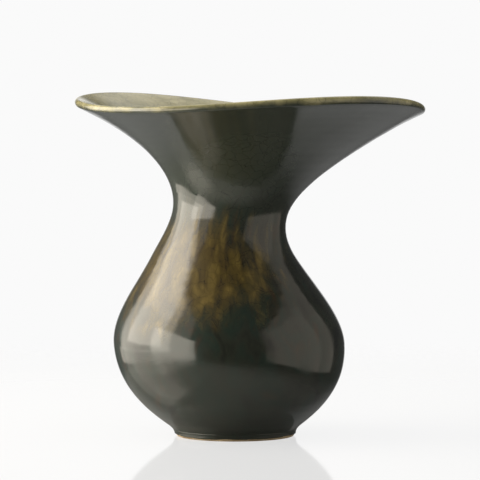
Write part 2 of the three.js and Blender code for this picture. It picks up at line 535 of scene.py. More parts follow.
@dataclass(frozen=True)
class BiscuitClay:
    """Buff earthenware fired once and left bare: matt and porous, with fine turning lines."""

    body: str = "#c4ad8a"
    pale: str = "#d6c4a4"
    toasted: str = "#a98a62"
    iron_speck: str = "#6e5138"
    roughness: float = 0.85
    ior: float = 1.5
    clouding_mm: float = 14.0
    grit_mm: float = 0.9
    speck_mm: float = 2.6
    # A speck fades out between these shares of its cell
    speck_core: float = 0.08
    speck_rim: float = 0.16
    speck_strength: float = 0.7
    # Turning lines are about 0.6 mm apart and drawn at twice that, so that they show
    turning_mm: float = 1.2
    turning_depth_mm: float = 0.05
    grit_depth_mm: float = 0.04
    foot_centre_mm: float = -10.0

    def material(self) -> bpy.types.Material:
        """Makes the clay's material.

        Returns:
            A material on Object coordinates.
        """
        made, tree, shader = start_material("bare_fired_earthenware")
        place = add_node(tree, "ShaderNodeTexCoord").outputs["Object"]
        centred = add_node(
            tree, "ShaderNodeMapping", {"Vector": place, "Location": (-self.foot_centre_mm * MM, 0, 0)}
        ).outputs["Vector"]
        # Clouds of paler and more toasted clay, from the kiln's uneven heat
        clouds = add_node(
            tree,
            "ShaderNodeTexNoise",
            {"Vector": place, "Scale": per_metre(self.clouding_mm), "Detail": 5.0, "Roughness": 0.6},
        ).outputs["Fac"]
        colour = add_node(
            tree,
            "ShaderNodeValToRGB",
            {"Fac": clouds},
            stops=[(0.3, self.toasted), (0.5, self.body), (0.72, self.pale)],
        ).outputs["Color"]
        # Iron specks, each a few tenths of a millimetre across
        cells = add_node(
            tree, "ShaderNodeTexVoronoi", {"Vector": place, "Scale": per_metre(self.speck_mm)}
        ).outputs["Distance"]
        specks = add_node(
            tree,
            "ShaderNodeMapRange",
            {
                "Value": cells,
                "From Min": self.speck_core,
                "From Max": self.speck_rim,
                "To Min": self.speck_strength,
                "To Max": 0.0,
            },
        ).outputs["Result"]
        speckled = add_node(
            tree,
            "ShaderNodeMix",
            {MIX_FACTOR: specks, MIX_LOW: colour, MIX_HIGH: linear(self.iron_speck)},
            data_type="RGBA",
        ).outputs[MIX_RESULT]
        grit = add_node(
            tree,
            "ShaderNodeTexNoise",
            {"Vector": place, "Scale": per_metre(self.grit_mm), "Detail": 3.0, "Roughness": 0.7},
        ).outputs["Fac"]
        # Rings left by the turning tool, round the foot's own middle
        rings = add_node(
            tree,
            "ShaderNodeTexWave",
            {
                "Vector": centred,
                "Scale": waves_per_metre(self.turning_mm),
                "Distortion": 0.6,
                "Detail": 2.0,
                "Detail Scale": 1.5,
            },
            wave_type="RINGS",
            rings_direction="SPHERICAL",
        ).outputs["Fac"]
        turned = add_node(
            tree,
            "ShaderNodeBump",
            {"Height": rings, "Distance": self.turning_depth_mm * MM, "Strength": 1.0},
        ).outputs["Normal"]
        gritty = add_node(
            tree,
            "ShaderNodeBump",
            {"Height": grit, "Distance": self.grit_depth_mm * MM, "Normal": turned, "Strength": 1.0},
        ).outputs["Normal"]
        tree.links.new(speckled, shader.inputs["Base Color"])
        tree.links.new(gritty, shader.inputs["Normal"])
        shader.inputs["Roughness"].default_value = self.roughness
        shader.inputs["IOR"].default_value = self.ior
        return made


@dataclass(frozen=True)
class LutingSlip:
    """Liquid clay that glues the sections: darker and closer than the body, wiped with a finger."""

    wet: str = "#a98c66"
    dry: str = "#bfa57f"
    roughness: float = 0.9
    wipe_mm: float = 5.0
    wipe_depth_mm: float = 0.08
    # The streaks run round the joint
    wipe_stretch: tuple[float, float, float] = (0.4, 0.4, 3.0)

    def material(self) -> bpy.types.Material:
        """Makes the slip's material.

        Returns:
            A material on Object coordinates, its wiped streaks drawn out round the joint.
        """
        made, tree, shader = start_material("fired_luting_slip")
        place = add_node(tree, "ShaderNodeTexCoord").outputs["Object"]
        drawn_out = add_node(
            tree, "ShaderNodeMapping", {"Vector": place, "Scale": self.wipe_stretch}
        ).outputs["Vector"]
        streaks = add_node(
            tree,
            "ShaderNodeTexNoise",
            {"Vector": drawn_out, "Scale": per_metre(self.wipe_mm), "Detail": 4.0, "Roughness": 0.6},
        ).outputs["Fac"]
        colour = add_node(
            tree, "ShaderNodeValToRGB", {"Fac": streaks}, stops=[(0.35, self.wet), (0.65, self.dry)]
        ).outputs["Color"]
        wiped = add_node(
            tree,
            "ShaderNodeBump",
            {"Height": streaks, "Distance": self.wipe_depth_mm * MM, "Strength": 1.0},
        ).outputs["Normal"]
        tree.links.new(colour, shader.inputs["Base Color"])
        tree.links.new(wiped, shader.inputs["Normal"])
        shader.inputs["Roughness"].default_value = self.roughness
        return made


@dataclass(frozen=True)
class FiredGlaze:
    """What both coats share: a lead-rich faience glaze that ran in the kiln and crazed as it cooled."""

    lip_along_mm: float
    ochre: str = "#878152"
    straw: str = "#b0a779"
    ior: float = 1.7
    gloss_low: float = 0.09
    gloss_high: float = 0.2
    flow_mm: float = 15.0
    streak_mm: float = 10.0
    swell_mm: float = 26.0
    swell_depth_mm: float = 0.3
    peel_mm: float = 3.0
    peel_depth_mm: float = 0.01
    ring_mm: float = 8.0
    # Crazing is finer than 0.1 mm and drawn at a quarter of a millimetre, so that it shows
    craze_mm: float = 7.0
    craze_share: float = 0.03
    craze_bend: float = 0.4
    craze_strength: float = 0.5
    # Throwing rings show through the glaze
    ring_depth_mm: float = 0.02
    # The thin band at the lip, and in shares of its width its ragged edge and where it fades out
    lip_band_mm: float = 5.0
    lip_ragged: float = 1.6
    lip_full: float = -0.6
    lip_gone: float = 0.4

    def lip_break(self, tree: bpy.types.NodeTree, wall: bpy.types.NodeSocket) -> bpy.types.NodeSocket:
        """How far the glaze has run thin, from 1 on the lip to 0 a finger's width away.

        Args:
            tree: the material's nodes.
            wall: the piece's own coordinates along the wall.

        Returns:
            The share as an output socket.
        """
        ragged = add_node(
            tree,
            "ShaderNodeTexNoise",
            {"Vector": wall, "Scale": per_metre(self.flow_mm), "Detail": 4.0, "Roughness": 0.6},
        ).outputs["Fac"]
        along = add_node(tree, "ShaderNodeSeparateXYZ", {"Vector": wall}).outputs["Z"]
        from_lip = add_node(
            tree, "ShaderNodeMath", {0: along, 1: self.lip_along_mm * MM}, operation="SUBTRACT"
        ).outputs["Value"]
        distance = add_node(
            tree, "ShaderNodeMath", {0: from_lip}, operation="ABSOLUTE"
        ).outputs["Value"]
        reach = add_node(
            tree,
            "ShaderNodeMath",
            {0: ragged, 1: -self.lip_ragged * self.lip_band_mm * MM, 2: distance},
            operation="MULTIPLY_ADD",
        ).outputs["Value"]
        return add_node(
            tree,
            "ShaderNodeMapRange",
            {
                "Value": reach,
                "From Min": self.lip_full * self.lip_band_mm * MM,
                "From Max": self.lip_gone * self.lip_band_mm * MM,
                "To Min": 1.0,
                "To Max": 0.0,
            },
            interpolation_type="SMOOTHSTEP",
        ).outputs["Result"]

    def crazed(
        self,
        tree: bpy.types.NodeTree,
        place: bpy.types.NodeSocket,
        colour: bpy.types.NodeSocket,
        stain: str,
    ) -> bpy.types.NodeSocket:
        """Draws the net of fine cracks into a colour.

        Args:
            tree: the material's nodes.
            place: Object coordinates.
            colour: colour of the glaze.
            stain: sRGB colour that has settled in the cracks.

        Returns:
            The crazed colour as an output socket.
        """
        bent = add_node(
            tree,
            "ShaderNodeTexNoise",
            {"Vector": place, "Scale": per_metre(self.craze_mm), "Detail": 2.0},
        ).outputs["Color"]
        warped = add_node(
            tree,
            "ShaderNodeVectorMath",
            {0: bent, 1: (self.craze_bend * self.craze_mm * MM,) * 3, 2: place},
            operation="MULTIPLY_ADD",
        ).outputs["Vector"]
        edge = add_node(
            tree,
            "ShaderNodeTexVoronoi",
            {"Vector": warped, "Scale": per_metre(self.craze_mm)},
            feature="DISTANCE_TO_EDGE",
        ).outputs["Distance"]
        crack = add_node(
            tree,
            "ShaderNodeMapRange",
            {
                "Value": edge,
                "From Min": 0.0,
                "From Max": self.craze_share,
                "To Min": self.craze_strength,
                "To Max": 0.0,
            },
        ).outputs["Result"]
        return add_node(
            tree,
            "ShaderNodeMix",
            {MIX_FACTOR: crack, MIX_LOW: colour, MIX_HIGH: linear(stain)},
            data_type="RGBA",
        ).outputs[MIX_RESULT]

    def surface(
        self, tree: bpy.types.NodeTree, place: bpy.types.NodeSocket, wall: bpy.types.NodeSocket
    ) -> None:
        """Gives the glaze its swells, throwing rings, orange peel and uneven gloss.

        Args:
            tree: the material's nodes.
            place: Object coordinates.
            wall: the piece's own coordinates along the wall.
        """
        shader = tree.nodes["Principled BSDF"]
        swells = add_node(
            tree,
            "ShaderNodeTexNoise",
            {"Vector": place, "Scale": per_metre(self.swell_mm), "Detail": 1.0},
        ).outputs["Fac"]
        rings = add_node(
            tree,
            "ShaderNodeTexWave",
            {
                "Vector": wall,
                "Scale": waves_per_metre(self.ring_mm),
                "Distortion": 2.0,
                "Detail": 1.0,
                "Detail Scale": 0.6,
            },
            wave_type="BANDS",
            bands_direction="Z",
        ).outputs["Fac"]
        peel = add_node(
            tree,
            "ShaderNodeTexNoise",
            {"Vector": place, "Scale": per_metre(self.peel_mm), "Detail": 2.0},
        ).outputs["Fac"]
        normal = None
        for height, depth in (
            (swells, self.swell_depth_mm),
            (rings, self.ring_depth_mm),
            (peel, self.peel_depth_mm),
        ):
            inputs = {"Height": height, "Distance": depth * MM, "Strength": 1.0}
            if normal:
                inputs["Normal"] = normal
            normal = add_node(tree, "ShaderNodeBump", inputs).outputs["Normal"]
        patches = add_node(
            tree,
            "ShaderNodeTexNoise",
            {"Vector": wall, "Scale": per_metre(self.flow_mm), "Detail": 3.0},
        ).outputs["Fac"]
        gloss = add_node(
            tree,
            "ShaderNodeMapRange",
            {
                "Value": patches,
                "From Min": 0.3,
                "From Max": 0.7,
                "To Min": self.gloss_low,
                "To Max": self.gloss_high,
            },
        ).outputs["Result"]
        tree.links.new(normal, shader.inputs["Normal"])
        tree.links.new(gloss, shader.inputs["Roughness"])
        shader.inputs["IOR"].default_value = self.ior


@dataclass(frozen=True)
class OliveBlackGlaze(FiredGlaze):
    """Outer coat: nearly black where thick, with olive, green and brown flow, amber where it broke."""

    black: str = "#141712"
    olive: str = "#262920"
    moss: str = "#1f2b23"
    umber: str = "#33291b"
    amber: str = "#4e4221"
    honey: str = "#6c5c2f"
    thin: str = "#3c4138"
    # It thins from the neck upward, between these distances from the lip
    thinning_mm: tuple[float, float] = (150.0, 80.0)
    thin_share: float = 0.85
    amber_centre_mm: tuple[float, float, float] = (-50.0, -48.0, 118.0)
    amber_reach_mm: tuple[float, float, float] = (112.0, 92.0, 66.0)
    # Weight of the patch's middle against its streaks, and the sums between which the amber comes in
    amber_core: float = 1.4
    amber_none: float = 0.85
    amber_full: float = 1.5
    # Runs are about twice as long as they are wide, and the broad ones wander more
    run_stretch: float = 0.5
    flow_wander: float = 0.8
    streak_wander: float = 0.4

    def flowing(
        self, tree: bpy.types.NodeTree, wall: bpy.types.NodeSocket, size_mm: float, wander: float
    ) -> bpy.types.NodeSocket:
        """Noise drawn out down the wall, as glaze runs.

        Args:
            tree: the material's nodes.
            wall: the piece's own coordinates along the wall.
            size_mm: width of a run.
            wander: how much the runs wander.

        Returns:
            The noise as an output socket.
        """
        stretched = add_node(
            tree, "ShaderNodeMapping", {"Vector": wall, "Scale": (1, 1, self.run_stretch)}
        ).outputs["Vector"]
        return add_node(
            tree,
            "ShaderNodeTexNoise",
            {
                "Vector": stretched,
                "Scale": per_metre(size_mm),
                "Detail": 5.0,
                "Roughness": 0.52,
                "Distortion": wander,
            },
        ).outputs["Fac"]

    def amber_patch(
        self, tree: bpy.types.NodeTree, place: bpy.types.NodeSocket, streaks: bpy.types.NodeSocket
    ) -> bpy.types.NodeSocket:
        """Where the glaze broke to amber on the front of the shoulder.

        Args:
            tree: the material's nodes.
            place: Object coordinates.
            streaks: noise that makes the patch's edge ragged.

        Returns:
            The share of amber as an output socket.
        """
        scale = tuple(1 / (reach * MM) for reach in self.amber_reach_mm)
        offset = tuple(
            -centre / reach for centre, reach in zip(self.amber_centre_mm, self.amber_reach_mm)
        )
        near = add_node(
            tree, "ShaderNodeMapping", {"Vector": place, "Scale": scale, "Location": offset}
        ).outputs["Vector"]
        core = add_node(
            tree, "ShaderNodeTexGradient", {"Vector": near}, gradient_type="SPHERICAL"
        ).outputs["Fac"]
        ragged = add_node(
            tree, "ShaderNodeMath", {0: core, 1: self.amber_core, 2: streaks}, operation="MULTIPLY_ADD"
        ).outputs["Value"]
        return add_node(
            tree,
            "ShaderNodeMapRange",
            {"Value": ragged, "From Min": self.amber_none, "From Max": self.amber_full},
            interpolation_type="SMOOTHSTEP",
        ).outputs["Result"]

    def material(self) -> bpy.types.Material:
        """Makes the outer glaze's material.

        Returns:
            A material on Object coordinates and on the piece's own wall coordinates.
        """
        made, tree, shader = start_material("olive_black_running_glaze")
        place = add_node(tree, "ShaderNodeTexCoord").outputs["Object"]
        wall = add_node(tree, "ShaderNodeAttribute", attribute_name="wall").outputs["Vector"]
        broad = self.flowing(tree, wall, self.flow_mm, self.flow_wander)
        streaks = self.flowing(tree, wall, self.streak_mm, self.streak_wander)
        colour = add_node(
            tree,
            "ShaderNodeValToRGB",
            {"Fac": broad},
            stops=[(0.3, self.black), (0.46, self.olive), (0.58, self.moss), (0.72, self.umber)],
        ).outputs["Color"]
        along = add_node(tree, "ShaderNodeSeparateXYZ", {"Vector": wall}).outputs["Z"]
        far, near = ((self.lip_along_mm - distance) * MM for distance in self.thinning_mm)
        thinning = add_node(
            tree,
            "ShaderNodeMapRange",
            {
                "Value": along,
                "From Min": far,
                "From Max": near,
                "To Min": 0.0,
                "To Max": self.thin_share,
            },
            interpolation_type="SMOOTHSTEP",
        ).outputs["Result"]
        warm, pale = (
            add_node(tree, "ShaderNodeValToRGB", {"Fac": streaks}, stops=stops).outputs["Color"]
            for stops in (
                [(0.34, self.umber), (0.52, self.amber), (0.72, self.honey)],
                [(0.35, self.ochre), (0.65, self.straw)],
            )
        )
        # Over the dark ground it thins up the flare, breaks to amber, and turns pale on the lip
        for share, over in (
            (thinning, linear(self.thin)),
            (self.amber_patch(tree, place, streaks), warm),
            (self.lip_break(tree, wall), pale),
        ):
            colour = add_node(
                tree,
                "ShaderNodeMix",
                {MIX_FACTOR: share, MIX_LOW: colour, MIX_HIGH: over},
                data_type="RGBA",
            ).outputs[MIX_RESULT]
        crazed = self.crazed(tree, place, colour, self.black)
        tree.links.new(crazed, shader.inputs["Base Color"])
        self.surface(tree, place, wall)
        return made


@dataclass(frozen=True)
class OchreLinerGlaze(FiredGlaze):
    """Inner coat: olive ochre on the mouth, darker down the throat and in the pool on the floor."""

    throat: str = "#4a4428"
    pool: str = "#23200f"
    craze_strength: float = 0.45
    ring_depth_mm: float = 0.06
    mottling: float = 0.5
    floor_along_mm: float = 560.0

    def material(self) -> bpy.types.Material:
        """Makes the liner glaze's material.

        Returns:
            A material on Object coordinates and on the piece's own wall coordinates.
        """
        made, tree, shader = start_material("olive_ochre_liner_glaze")
        place = add_node(tree, "ShaderNodeTexCoord").outputs["Object"]
        wall = add_node(tree, "ShaderNodeAttribute", attribute_name="wall").outputs["Vector"]
        mottle = add_node(
            tree,
            "ShaderNodeTexNoise",
            {
                "Vector": wall,
                "Scale": per_metre(self.flow_mm),
                "Detail": 6.0,
                "Roughness": 0.6,
                "Distortion": 0.5,
            },
        ).outputs["Fac"]
        along = add_node(tree, "ShaderNodeSeparateXYZ", {"Vector": wall}).outputs["Z"]
        depth = add_node(
            tree,
            "ShaderNodeMapRange",
            {
                "Value": along,
                "From Min": self.lip_along_mm * MM,
                "From Max": self.floor_along_mm * MM,
            },
        ).outputs["Result"]
        mottled = add_node(
            tree, "ShaderNodeMath", {0: mottle, 1: self.mottling, 2: depth}, operation="MULTIPLY_ADD"
        ).outputs["Value"]
        colour = add_node(
            tree,
            "ShaderNodeValToRGB",
            {"Fac": mottled},
            stops=[(0.22, self.straw), (0.34, self.ochre), (0.62, self.throat), (0.98, self.pool)],
        ).outputs["Color"]
        crazed = self.crazed(tree, place, colour, self.pool)
        tree.links.new(crazed, shader.inputs["Base Color"])
        self.surface(tree, place, wall)
        return made


@dataclass(frozen=True)
class TableTop:
    """White painted table: it melts into the background, but keeps the vase's shadow and reflection."""

    # A little over the background's white, for what its lit part takes away
    white: float = 1.0
    # The eye sees mostly glowing white, with these shares of lit paint and of gloss
    paint: str = "#d7d8d8"
    lit_share: float = 0.16
    gloss_share: float = 0.22
    # The vase sees a lit board, with a gloss that grows at a glance
    board: str = "#acadab"
    gloss_ior: float = 2.2
    roughness: float = 0.06
    # Between these distances it fades out, seen by the eye or mirrored in the glaze
    seen_from: float = 0.4
    seen_to: float = 0.85
    mirrored_from: float = 0.11
    mirrored_to: float = 0.25
    # The part that the glaze mirrors lies towards the window, a little before the vase
    mirrored_centre: tuple[float, float, float] = (-0.08, -0.05, 0.0)

    def material(self) -> bpy.types.Material:
        """Makes the table's material.

        Returns:
            A material whose lit part fades into the white background with distance.
        """
        made, tree, _ = start_material("white_studio_table")
        tree.nodes.clear()
        place = add_node(tree, "ShaderNodeTexCoord").outputs["Object"]
        camera_ray = add_node(tree, "ShaderNodeLightPath").outputs["Is Camera Ray"]
        seen_distance = add_node(
            tree, "ShaderNodeVectorMath", {0: place}, operation="LENGTH"
        ).outputs["Value"]
        mirrored_distance = add_node(
            tree, "ShaderNodeVectorMath", {0: place, 1: self.mirrored_centre}, operation="DISTANCE"
        ).outputs["Value"]
        present = []
        for distance, first, last in (
            (mirrored_distance, self.mirrored_from, self.mirrored_to),
            (seen_distance, self.seen_from, self.seen_to),
        ):
            faded = add_node(
                tree,
                "ShaderNodeMapRange",
                {"Value": distance, "From Min": first, "From Max": last, "To Min": 1.0, "To Max": 0.0},
                interpolation_type="SMOOTHSTEP",
            )
            present.append(faded.outputs["Result"])
        presence = add_node(
            tree,
            "ShaderNodeMix",
            {MIX_FACTOR: camera_ray, VALUE_LOW: present[0], VALUE_HIGH: present[1]},
            data_type="FLOAT",
        ).outputs[VALUE_RESULT]
        glow = add_node(
            tree, "ShaderNodeEmission", {"Color": NEUTRAL, "Strength": self.white}
        ).outputs["Emission"]
        board, paint = (
            add_node(tree, "ShaderNodeBsdfDiffuse", {"Color": linear(colour)}).outputs["BSDF"]
            for colour in (self.board, self.paint)
        )
        gloss = add_node(
            tree, "ShaderNodeBsdfGlossy", {"Color": NEUTRAL, "Roughness": self.roughness}
        ).outputs["BSDF"]
        # The eye sees it white. What it gives the vase, lit or mirrored, is the light that falls on it.
        mirror = add_node(tree, "ShaderNodeFresnel", {"IOR": self.gloss_ior}).outputs["Fac"]
        shine = add_node(
            tree,
            "ShaderNodeMix",
            {MIX_FACTOR: camera_ray, VALUE_LOW: mirror, VALUE_HIGH: self.gloss_share},
            data_type="FLOAT",
        ).outputs[VALUE_RESULT]
        nothing = add_node(tree, "ShaderNodeBsdfTransparent").outputs["BSDF"]
        whitened = add_node(
            tree, "ShaderNodeMixShader", {0: self.lit_share, 1: glow, 2: paint}
        ).outputs["Shader"]
        lit = add_node(
            tree, "ShaderNodeMixShader", {0: camera_ray, 1: board, 2: whitened}
        ).outputs["Shader"]
        polished = add_node(
            tree, "ShaderNodeMixShader", {0: shine, 1: lit, 2: gloss}
        ).outputs["Shader"]
        surface = add_node(
            tree, "ShaderNodeMixShader", {0: presence, 1: nothing, 2: polished}
        ).outputs["Shader"]
        add_node(tree, "ShaderNodeOutputMaterial", {"Surface": surface})
        return made


@dataclass(frozen=True)
class Foot:
    """The low foot: a turned ring of bare clay and the slip that holds it to the base."""

    form: VaseForm
    wheel: Wheel
    segments: int = 160
    edge_softness: float = 0.3
    edge_cuts: int = 3
    edge_turn: float = math.radians(25)
    ring_crease: float = math.radians(60)
    slip_crease: float = math.radians(50)
    bead_bulge: float = 0.4
    bead_steps: int = 6

    def build_ring(self) -> bpy.types.Object:
        """Turns the foot ring and softens its edges.

        Returns:
            The ring's object.
        """
        form = self.form
        outline = [
            Station(form.foot_bore_radius + form.foot_chamfer, 0),
            Station(form.foot_edge_radius - form.foot_chamfer, 0),
            Station(form.foot_edge_radius, form.foot_chamfer),
            Station(form.foot_top_radius, form.foot_height),
            Station(form.foot_bore_radius, form.foot_height),
            Station(form.foot_bore_radius, form.foot_chamfer),
        ]
        ring = self.wheel.turned(Part.FOOT_RING.value + "_turned", outline, self.segments)
        soften = ring.modifiers.new("soften", "BEVEL")
        soften.width = self.edge_softness * MM
        soften.segments = self.edge_cuts
        soften.limit_method = "ANGLE"
        soften.angle_limit = self.edge_turn
        bpy.ops.object.modifier_apply(modifier=soften.name)
        smoothed(ring, self.ring_crease)
        return ring

    def build_slip(self) -> bpy.types.Object:
        """Turns the slip joint, with the bead that squeezed out inside the foot.

        Returns:
            The joint's object.
        """
        form = self.form
        middle = form.foot_height + form.slip_thickness / 2
        bead = []
        for step in range(1, self.bead_steps):
            turn = math.pi * step / self.bead_steps
            bulge = self.bead_bulge * math.sin(turn)
            height = middle + form.slip_thickness / 2 * math.cos(turn)
            bead.append(Station(form.foot_bore_radius - bulge, height))
        outline = [
            Station(form.foot_bore_radius, form.foot_height),
            Station(form.foot_top_radius, form.foot_height),
            Station(form.bowl_start_radius, form.bowl_bottom),
            Station(form.foot_bore_radius, form.bowl_bottom),
            *bead,
        ]
        joint = self.wheel.turned(Part.FOOT_SLIP.value + "_wiped", outline, self.segments)
        smoothed(joint, self.slip_crease)
        return joint

    def dress(
        self,
        ring: bpy.types.Object,
        joint: bpy.types.Object,
        clay: bpy.types.Material,
        slip: bpy.types.Material,
    ) -> None:
        """Gives the ring its bare clay and the joint its slip.

        Args:
            ring: foot ring.
            joint: slip joint over it.
            clay: bare clay.
            slip: fired slip.
        """
        fitted(ring, Part.FOOT_RING, clay)
        fitted(joint, Part.FOOT_SLIP, slip)


@dataclass(frozen=True)
class ThrownBody:
    """The clay wall: base, shoulder and mouth thrown apart, luted at the belly and at the neck."""

    form: VaseForm
    wheel: Wheel
    segments: int = 144
    corner_steps: int = 5
    bowl_steps: int = 20
    shoulder_steps: int = 30
    flare_steps: int = 32
    lip_steps: int = 10
    floor_steps: int = 12
    crease: float = math.radians(50)

    @cached_property
    def half_slip(self) -> float:
        """Half the thickness of a slip joint."""
        return self.form.slip_thickness / 2

    @cached_property
    def corner(self) -> tuple[list[Vector], list[Vector]]:
        """Wall from the foot to the height where the floor begins."""
        form = self.form
        return form.wall_between(
            form.bowl_curve, form.bowl_bottom, form.floor_blend_height, self.corner_steps
        )

    @cached_property
    def bowl(self) -> tuple[list[Vector], list[Vector]]:
        """Wall from the floor to the belly joint."""
        form = self.form
        top = form.belly_height - self.half_slip
        return form.wall_between(form.bowl_curve, form.floor_blend_height, top, self.bowl_steps)

    @cached_property
    def shoulder(self) -> tuple[list[Vector], list[Vector]]:
        """Wall from the belly joint to the neck joint."""
        form = self.form
        low, high = form.belly_height + self.half_slip, form.waist_height - self.half_slip
        return form.wall_between(form.shoulder_curve, low, high, self.shoulder_steps)

    @cached_property
    def flare(self) -> tuple[list[Vector], list[Vector]]:
        """Wall from the neck joint out to the lip."""
        form = self.form
        low = form.waist_height + self.half_slip
        return form.wall_between(form.flare_curve, low, form.lip_start.y, self.flare_steps)

    @cached_property
    def lip(self) -> list[Vector]:
        """Half-round lip from the outside over to the inside, without its end points."""
        form = self.form
        run = form.flare_direction
        normal = Vector((run.y, -run.x))
        radius = form.lip_wall / 2
        points = []
        for step in range(1, self.lip_steps):
            turn = math.pi * step / self.lip_steps
            points.append(form.lip_centre + (normal * math.cos(turn) + run * math.sin(turn)) * radius)
        return points

    @cached_property
    def floor(self) -> list[Vector]:
        """Inside of the floor, from the foot of the inner wall level to the axis."""
        form = self.form
        edge, above = self.bowl[1][0], self.bowl[1][1]
        slope = above - edge
        top = form.bowl_bottom + form.floor_thickness
        bend = Vector((edge.x - (edge.y - top) * slope.x / slope.y, top))
        centre = Vector((0, top))
        points = []
        for step in range(1, self.floor_steps + 1):
            share = step / self.floor_steps
            rest = 1 - share
            points.append(edge * rest**2 + bend * (2 * rest * share) + centre * share**2)
        return points

    def section(self, part: Part, outline: list[Vector]) -> bpy.types.Object:
        """Turns one section or joint.

        Args:
            part: solid that it stands for.
            outline: its outline in millimetres.

        Returns:
            The turned object, smooth but for the rims where sections meet.
        """
        stations = [Station(point.x, point.y) for point in outline]
        piece = self.wheel.turned(part.value + "_thrown", stations, self.segments)
        smoothed(piece, self.crease)
        return piece

    def build(self) -> dict[Part, bpy.types.Object]:
        """Throws the three sections and the two joints between them.

        Returns:
            The objects by part.
        """
        form = self.form
        bottom = [Vector((0, form.bowl_bottom)), Vector((form.foot_bore_radius, form.bowl_bottom))]
        bowl_out, bowl_in = self.bowl
        shoulder_out, shoulder_in = self.shoulder
        flare_out, flare_in = self.flare
        outlines = {
            Part.BASE: [*bottom, *self.corner[0][:-1], *bowl_out, *reversed(bowl_in), *self.floor],
            Part.BELLY_SLIP: [bowl_out[-1], shoulder_out[0], shoulder_in[0], bowl_in[-1]],
            Part.SHOULDER: [*shoulder_out, *reversed(shoulder_in)],
            Part.NECK_SLIP: [shoulder_out[-1], flare_out[0], flare_in[0], shoulder_in[-1]],
            Part.MOUTH: [*flare_out, *self.lip, *reversed(flare_in)],
        }
        return {part: self.section(part, outline) for part, outline in outlines.items()}

    def dress(
        self, pieces: dict[Part, bpy.types.Object], clay: bpy.types.Material, slip: bpy.types.Material
    ) -> None:
        """Gives the sections their clay and the joints their slip.

        Args:
            pieces: the thrown objects by part.
            clay: bare clay.
            slip: fired slip.
        """
        for part, piece in pieces.items():
            if part in (Part.BELLY_SLIP, Part.NECK_SLIP):
                fitted(piece, part, slip)
            else:
                fitted(piece, part, clay)


